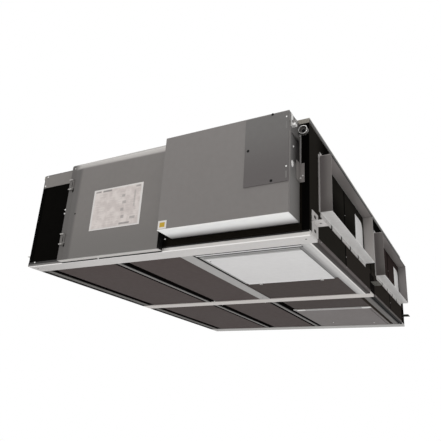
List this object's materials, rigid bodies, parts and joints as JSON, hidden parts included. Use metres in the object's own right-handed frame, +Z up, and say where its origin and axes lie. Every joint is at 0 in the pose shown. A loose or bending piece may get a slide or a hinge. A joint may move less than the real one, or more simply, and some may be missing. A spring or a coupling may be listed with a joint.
{
  "type": "air handling unit",
  "caption": "Flat ceiling air handling unit: black casing on galvanised rails, duct collars at both ends, control box and service cover in front, floor hatches, hanging brackets.",
  "frame": {"origin": "centre of the casing's footprint, on the underside of the base rails", "axes": "+X to the end with the collars that the picture shows, -Y to the control box, +Z up"},
  "size_m": [1.604, 2.151, 0.529],
  "materials": {
    "galvanised": "bright galvanised sheet",
    "dark_sheet": "dark brown-grey coated sheet",
    "strip_sheet": "grey coated strip",
    "seal_rubber": "black foam seal",
    "light_sheet": "light grey coated sheet",
    "back_hatch_sheet": "medium grey coated sheet",
    "black_sheet": "matt black coated sheet",
    "filter_white": "white filter medium",
    "grey_sheet": "warm grey coated sheet",
    "cover_sheet": "warm grey coated sheet",
    "white_sheet": "white coated sheet"
  },
  "bodies": {
    "root": {"roof_panel": "galvanised", "front_rail": "galvanised", "middle_rail": "galvanised", "back_rail": "galvanised", "end_rails": "dark_sheet", "front_left_floor": "dark_sheet", "front_middle_floor": "dark_sheet", "front_narrow_floor": "dark_sheet", "back_left_floor": "dark_sheet", "back_middle_floor": "dark_sheet", "back_narrow_floor": "dark_sheet", "joint_strips": "strip_sheet", "joint_seals": "seal_rubber", "hatch_bars": "galvanised", "front_hatch": "light_sheet", "back_hatch": "back_hatch_sheet", "front_wall": "black_sheet", "back_wall_left": "black_sheet", "back_wall_middle": "black_sheet", "back_wall_right": "black_sheet", "right_front_collar": "galvanised", "right_back_collar": "galvanised", "left_front_collar": "galvanised", "left_back_collar": "galvanised", "right_filters": "filter_white", "left_filters": "filter_white", "right_brackets": "galvanised", "left_brackets": "galvanised", "front_top_plate": "grey_sheet", "service_cover": "grey_sheet", "control_box": "grey_sheet", "control_box_base": "white_sheet", "control_box_front": "grey_sheet", "control_box_cover": "cover_sheet", "cover_hinges": "grey_sheet", "box_brackets": "galvanised", "hatch_clips": "galvanised", "right_wall_1": "black_sheet", "right_wall_2": "black_sheet", "right_wall_3": "black_sheet", "right_wall_4": "black_sheet", "left_wall_1": "black_sheet", "left_wall_2": "black_sheet", "left_wall_3": "black_sheet", "left_wall_4": "black_sheet"}
  },
  "joints": []
}
